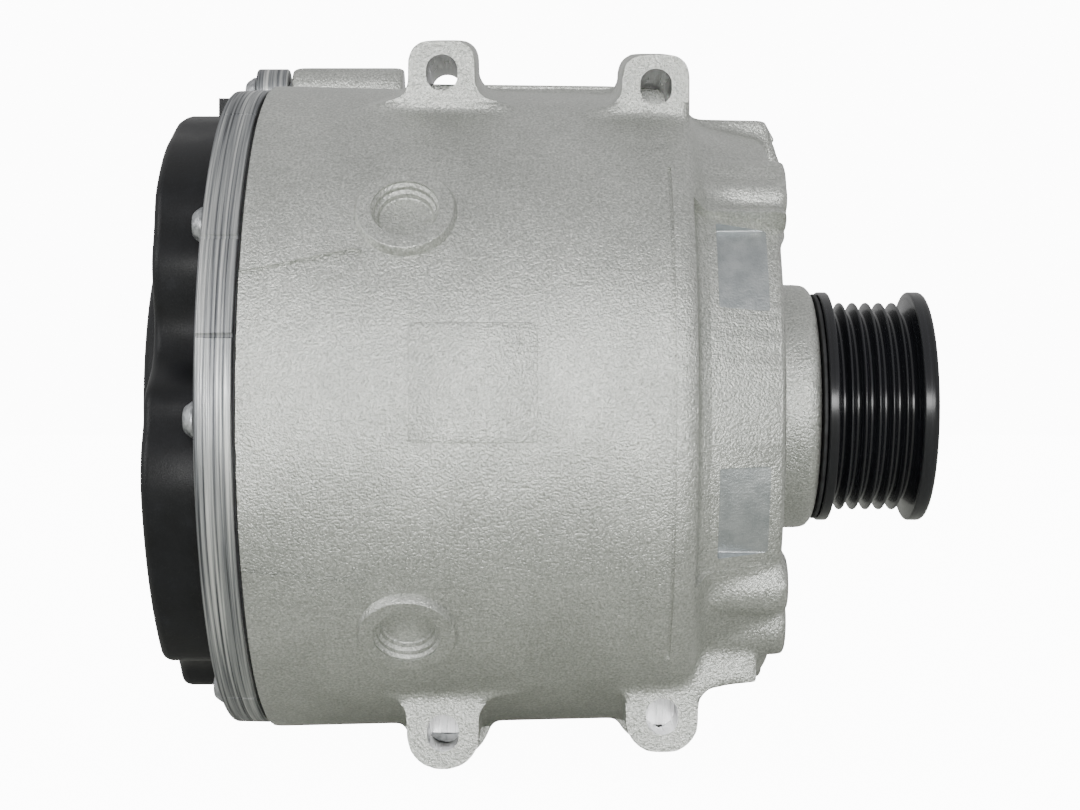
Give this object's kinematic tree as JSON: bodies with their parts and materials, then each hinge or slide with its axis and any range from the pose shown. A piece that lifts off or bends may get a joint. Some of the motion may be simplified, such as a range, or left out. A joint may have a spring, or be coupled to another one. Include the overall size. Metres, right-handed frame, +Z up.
{
  "type": "liquid-cooled alternator",
  "caption": "Liquid-cooled car alternator: cast housing with mounting ears, rear bracket and cover, claw-pole rotor on bearings, and an overrunning belt pulley.",
  "frame": {"origin": "on the shaft axis, near the middle of the four mounting ears", "axes": "+X along the shaft towards the pulley, +Y towards the engine, which the ears' rear faces meet, +Z up from the lower ears to the upper ones"},
  "size_m": [0.2048, 0.1839, 0.1913],
  "materials": {
    "cast_aluminium": "die-cast aluminium, shot blasted to a fine matt grain",
    "machined_aluminium": "turned aluminium with streaks round the axis",
    "black_plastic": "moulded black glass-filled nylon, satin",
    "black_steel": "black e-coated steel, satin",
    "bright_steel": "ground bearing steel",
    "zinc_steel": "zinc-plated steel",
    "lamination_steel": "stacked silicon steel sheet",
    "copper_winding": "enamelled copper wire",
    "bare_copper": "bare turned copper",
    "black_rubber": "moulded black rubber",
    "carbon": "pressed carbon",
    "brass": "plain brass"
  },
  "bodies": {
    "root": {"front_housing": "cast_aluminium", "cooling_sleeve": "machined_aluminium", "jacket_seal_front": "black_rubber", "jacket_seal_rear": "black_rubber", "stator_core": "lamination_steel", "winding_head_front": "copper_winding", "winding_head_rear": "copper_winding", "front_bearing_outer": "bright_steel", "rear_bearing_outer": "bright_steel", "bearing_retainer": "zinc_steel", "retainer_screw_1": "zinc_steel", "retainer_screw_2": "zinc_steel", "retainer_screw_3": "zinc_steel", "rear_bracket": "machined_aluminium", "bracket_gasket": "black_rubber", "bracket_screw_1": "zinc_steel", "bracket_screw_2": "zinc_steel", "bracket_screw_3": "zinc_steel", "bracket_screw_4": "zinc_steel", "bracket_screw_5": "zinc_steel", "bracket_screw_6": "zinc_steel", "lug_bolt": "zinc_steel", "rear_cover": "black_plastic", "heat_sink_negative": "machined_aluminium", "heat_sink_positive": "machined_aluminium", "negative_diode_1": "zinc_steel", "negative_diode_2": "zinc_steel", "negative_diode_3": "zinc_steel", "positive_diode_1": "zinc_steel", "positive_diode_2": "zinc_steel", "positive_diode_3": "zinc_steel", "brush_holder": "black_plastic", "voltage_regulator": "black_plastic", "connector_socket": "black_plastic", "terminal_stud": "brass", "terminal_nut": "zinc_steel", "coolant_spigot_lower": "zinc_steel", "coolant_spigot_upper": "zinc_steel", "spigot_seal_lower": "black_rubber", "spigot_seal_upper": "black_rubber", "ear_bushing_left": "zinc_steel", "ear_bushing_right": "zinc_steel"},
    "rotor": {"shaft": "bright_steel", "claw_pole_front": "black_steel", "claw_pole_rear": "black_steel", "field_coil": "copper_winding", "slip_ring_inner": "bare_copper", "slip_ring_outer": "bare_copper", "front_bearing_inner": "bright_steel", "rear_bearing_inner": "bright_steel", "pulley_hub": "bright_steel", "clutch_rollers": "bright_steel"},
    "pulley": {"pulley_rim": "black_steel", "pulley_seal": "black_rubber", "dust_cap": "black_plastic"},
    "front_cage": {"front_ball_cage": "brass"},
    "rear_cage": {"rear_ball_cage": "brass"},
    "brush_inner": {"brush_inner": "carbon"},
    "brush_outer": {"brush_outer": "carbon"}
  },
  "joints": [
    {"name": "rotor_spin", "type": "hinge", "parent": "root", "child": "rotor", "pos_m": [0, 0, 0], "axis": [1, 0, 0], "continuous": true},
    {"name": "pulley_overrun", "type": "hinge", "parent": "rotor", "child": "pulley", "pos_m": [0.0875, 0, 0], "axis": [1, 0, 0], "continuous": true},
    {"name": "front_cage_spin", "type": "hinge", "parent": "root", "child": "front_cage", "pos_m": [0.0621, 0, 0], "axis": [1, 0, 0], "continuous": true},
    {"name": "rear_cage_spin", "type": "hinge", "parent": "root", "child": "rear_cage", "pos_m": [-0.0764, 0, 0], "axis": [1, 0, 0], "continuous": true},
    {"name": "brush_inner_slide", "type": "slide", "parent": "root", "child": "brush_inner", "axis": [0, 0, 1], "range_m": [0, 0.007], "stiffness_N_per_m": 40, "springref_m": -0.05},
    {"name": "brush_outer_slide", "type": "slide", "parent": "root", "child": "brush_outer", "axis": [0, 0, 1], "range_m": [0, 0.007], "stiffness_N_per_m": 40, "springref_m": -0.05}
  ],
  "couplings": [
    {"joint": "front_cage_spin", "follows": "rotor_spin", "ratio": 0.387},
    {"joint": "rear_cage_spin", "follows": "rotor_spin", "ratio": 0.419}
  ]
}
